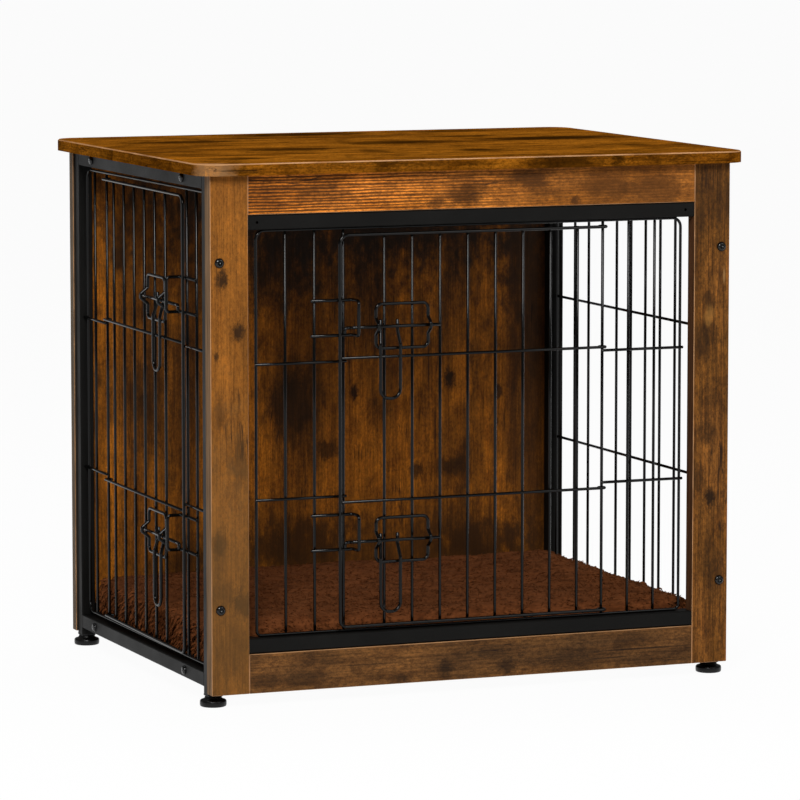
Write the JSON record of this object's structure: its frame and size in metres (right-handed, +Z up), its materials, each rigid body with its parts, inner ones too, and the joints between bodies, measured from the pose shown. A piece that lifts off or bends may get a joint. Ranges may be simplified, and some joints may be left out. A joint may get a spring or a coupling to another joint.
{
  "type": "dog crate end table",
  "caption": "Wooden end table built over a steel dog crate, with wire grilles, a latched wire door in the front and one in the left side, a fleece mat and screw-in feet.",
  "frame": {"origin": "on the floor, under the middle of the table top", "axes": "+X to the right along the front, +Y from the front to the back, +Z up"},
  "size_m": [0.6, 0.48, 0.548],
  "materials": {
    "rustic_wood": "rustic printed wood grain on board, satin",
    "dowel_wood": "plain beech dowel",
    "black_tube": "satin black powder coat",
    "black_wire": "semi-gloss black coat",
    "black_steel": "black oxide",
    "zinc_steel": "zinc plated",
    "mat_fleece": "long-pile fleece",
    "foot_plastic": "matt black",
    "plug_plastic": "matt black"
  },
  "bodies": {
    "root": {"table_top": "rustic_wood", "left_stile": "rustic_wood", "right_stile": "rustic_wood", "top_rail": "rustic_wood", "bottom_rail": "rustic_wood", "back_panel": "rustic_wood", "floor_board": "rustic_wood", "rail_dowels": "dowel_wood", "left_front_post": "black_tube", "right_front_post": "black_tube", "left_back_post": "black_tube", "right_back_post": "black_tube", "left_top_tube": "black_tube", "right_top_tube": "black_tube", "left_bottom_tube": "black_tube", "right_bottom_tube": "black_tube", "front_top_bar": "black_tube", "front_bottom_bar": "black_tube", "cross_bars": "black_tube", "front_panel_frame": "black_wire", "front_panel_left_wires": "black_wire", "front_panel_right_wires": "black_wire", "left_panel_frame": "black_wire", "left_panel_front_wires": "black_wire", "left_panel_back_wires": "black_wire", "right_panel_frame": "black_wire", "right_panel_wires": "black_wire", "front_upper_keeper": "black_wire", "front_lower_keeper": "black_wire", "left_upper_keeper": "black_wire", "left_lower_keeper": "black_wire", "panel_bolts": "black_steel", "weld_nuts": "zinc_steel", "frame_screws": "black_steel", "top_screws": "black_steel", "tab_screws": "black_steel", "mat": "mat_fleece", "foot_inserts": "plug_plastic", "cross_bar_plugs": "plug_plastic"},
    "front_door": {"front_door_frame": "black_wire", "front_door_wires": "black_wire", "front_upper_guide": "black_wire", "front_lower_guide": "black_wire"},
    "left_door": {"left_door_frame": "black_wire", "left_door_wires": "black_wire", "left_upper_guide": "black_wire", "left_lower_guide": "black_wire"},
    "front_upper_bolt": {"front_upper_bolt": "black_wire"},
    "front_upper_handle": {"front_upper_handle": "black_wire"},
    "front_lower_bolt": {"front_lower_bolt": "black_wire"},
    "front_lower_handle": {"front_lower_handle": "black_wire"},
    "left_upper_bolt": {"left_upper_bolt": "black_wire"},
    "left_upper_handle": {"left_upper_handle": "black_wire"},
    "left_lower_bolt": {"left_lower_bolt": "black_wire"},
    "left_lower_handle": {"left_lower_handle": "black_wire"},
    "front_left_foot": {"front_left_foot": "foot_plastic"},
    "front_right_foot": {"front_right_foot": "foot_plastic"},
    "back_left_foot": {"back_left_foot": "foot_plastic"},
    "back_right_foot": {"back_right_foot": "foot_plastic"}
  },
  "joints": [
    {"name": "front_door_hinge", "type": "hinge", "parent": "root", "child": "front_door", "pos_m": [0.1455, -0.216, 0.274], "axis": [0, 0, 1], "range_deg": [0, 160]},
    {"name": "left_door_hinge", "type": "hinge", "parent": "root", "child": "left_door", "pos_m": [-0.275, 0.1287, 0.274], "axis": [0, 0, -1], "range_deg": [0, 160]},
    {"name": "front_upper_slide", "type": "slide", "parent": "front_door", "child": "front_upper_bolt", "axis": [0.9999, 0.0122, 0], "range_m": [0, 0.026]},
    {"name": "front_upper_lift", "type": "hinge", "parent": "front_upper_bolt", "child": "front_upper_handle", "pos_m": [-0.09989, -0.2266, 0.3796], "axis": [-0.9999, -0.0122, 0], "range_deg": [0, 170]},
    {"name": "front_lower_slide", "type": "slide", "parent": "front_door", "child": "front_lower_bolt", "axis": [0.9999, 0.0122, 0], "range_m": [0, 0.026]},
    {"name": "front_lower_lift", "type": "hinge", "parent": "front_lower_bolt", "child": "front_lower_handle", "pos_m": [-0.09989, -0.2266, 0.1622], "axis": [-0.9999, -0.0122, 0], "range_deg": [0, 170]},
    {"name": "left_upper_slide", "type": "slide", "parent": "left_door", "child": "left_upper_bolt", "axis": [0.0122, 0.9999, 0], "range_m": [0, 0.026]},
    {"name": "left_upper_lift", "type": "hinge", "parent": "left_upper_bolt", "child": "left_upper_handle", "pos_m": [-0.28525, -0.08789, 0.3994], "axis": [0.0122, 0.9999, 0], "range_deg": [0, 170]},
    {"name": "left_lower_slide", "type": "slide", "parent": "left_door", "child": "left_lower_bolt", "axis": [0.0122, 0.9999, 0], "range_m": [0, 0.026]},
    {"name": "left_lower_lift", "type": "hinge", "parent": "left_lower_bolt", "child": "left_lower_handle", "pos_m": [-0.28525, -0.08789, 0.156], "axis": [0.0122, 0.9999, 0], "range_deg": [0, 170]},
    {"name": "front_left_foot_screw", "type": "hinge", "parent": "root", "child": "front_left_foot", "pos_m": [-0.2755, -0.2025, 0.01], "axis": [0, 0, 1], "continuous": true},
    {"name": "front_right_foot_screw", "type": "hinge", "parent": "root", "child": "front_right_foot", "pos_m": [0.2755, -0.2025, 0.01], "axis": [0, 0, 1], "continuous": true},
    {"name": "back_left_foot_screw", "type": "hinge", "parent": "root", "child": "back_left_foot", "pos_m": [-0.2755, 0.2065, 0.01], "axis": [0, 0, 1], "continuous": true},
    {"name": "back_right_foot_screw", "type": "hinge", "parent": "root", "child": "back_right_foot", "pos_m": [0.2755, 0.2065, 0.01], "axis": [0, 0, 1], "continuous": true}
  ]
}
